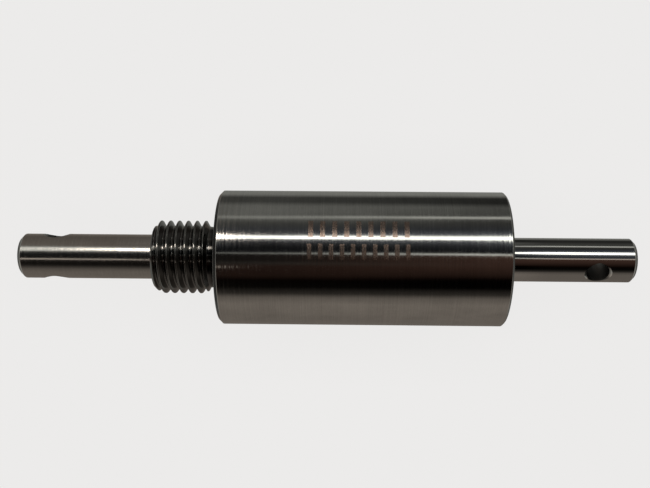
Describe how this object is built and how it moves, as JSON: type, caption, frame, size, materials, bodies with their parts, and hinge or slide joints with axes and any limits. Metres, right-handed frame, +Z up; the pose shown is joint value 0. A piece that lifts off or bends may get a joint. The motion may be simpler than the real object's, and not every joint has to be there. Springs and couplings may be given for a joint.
{
  "type": "ball screw assembly",
  "caption": "Enclosed miniature ball screw actuator: turning a plain input shaft slides a cross-drilled output rod through a threaded mounting neck.",
  "frame": {"origin": "on the common axis, in the plane of the barrel's mounting shoulder where the threaded neck begins", "axes": "+X along the common axis from the shoulder to the input shaft; the neck and the output rod point to -X; +Z up"},
  "size_m": [0.137, 0.03, 0.03],
  "materials": {
    "housing_steel": "fine turned",
    "rod_steel": "satin ground",
    "shaft_steel": "polished ground",
    "bearing_steel": "lapped",
    "inner_steel": "machined",
    "spring_steel": "blackened",
    "bush_polymer": "matte",
    "return_polymer": "matte",
    "wiper_polymer": "matte",
    "urethane": "satin",
    "seal_rubber": "matte",
    "cage_brass": "satin"
  },
  "bodies": {
    "housing": {"barrel": "housing_steel", "rod_bush": "bush_polymer", "rod_wiper": "seal_rubber", "front_bumper": "urethane", "guide_sleeve": "inner_steel", "sleeve_dowel": "inner_steel", "rear_bumper": "urethane", "bearing_a_outer_race": "bearing_steel", "bearing_b_outer_race": "bearing_steel", "end_cap": "housing_steel", "cap_o_ring": "seal_rubber", "shaft_seal": "seal_rubber", "seal_garter_spring": "spring_steel"},
    "screw": {"ball_screw": "shaft_steel", "bearing_a_inner_race": "bearing_steel", "bearing_b_inner_race": "bearing_steel", "preload_shim": "inner_steel", "circlip": "spring_steel"},
    "rod": {"output_rod": "rod_steel", "nut_carrier": "inner_steel", "ball_nut": "bearing_steel", "nut_balls": "bearing_steel", "ball_returns": "return_polymer", "nut_wiper_front": "wiper_polymer", "nut_wiper_rear": "wiper_polymer", "guide_key": "cage_brass", "key_screw": "spring_steel", "rod_pin": "inner_steel", "nut_lock_screw": "spring_steel"},
    "cage_a": {"bearing_a_balls": "bearing_steel", "bearing_a_cage": "cage_brass"},
    "cage_b": {"bearing_b_balls": "bearing_steel", "bearing_b_cage": "cage_brass"}
  },
  "joints": [
    {"name": "screw_spin", "type": "hinge", "parent": "housing", "child": "screw", "pos_m": [0, 0, 0], "axis": [-1, 0, 0], "range_deg": [0, 3240]},
    {"name": "rod_slide", "type": "slide", "parent": "housing", "child": "rod", "axis": [1, 0, 0], "range_m": [0, 0.018]},
    {"name": "cage_a_spin", "type": "hinge", "parent": "housing", "child": "cage_a", "pos_m": [0.0495, 0, 0], "axis": [-1, 0, 0], "range_deg": [0, 1296]},
    {"name": "cage_b_spin", "type": "hinge", "parent": "housing", "child": "cage_b", "pos_m": [0.0555, 0, 0], "axis": [-1, 0, 0], "range_deg": [0, 1296]}
  ],
  "couplings": [
    {"joint": "screw_spin", "follows": "rod_slide", "rad_per_m": 3141.6},
    {"joint": "cage_a_spin", "follows": "rod_slide", "rad_per_m": 1256.6},
    {"joint": "cage_b_spin", "follows": "rod_slide", "rad_per_m": 1256.6}
  ]
}
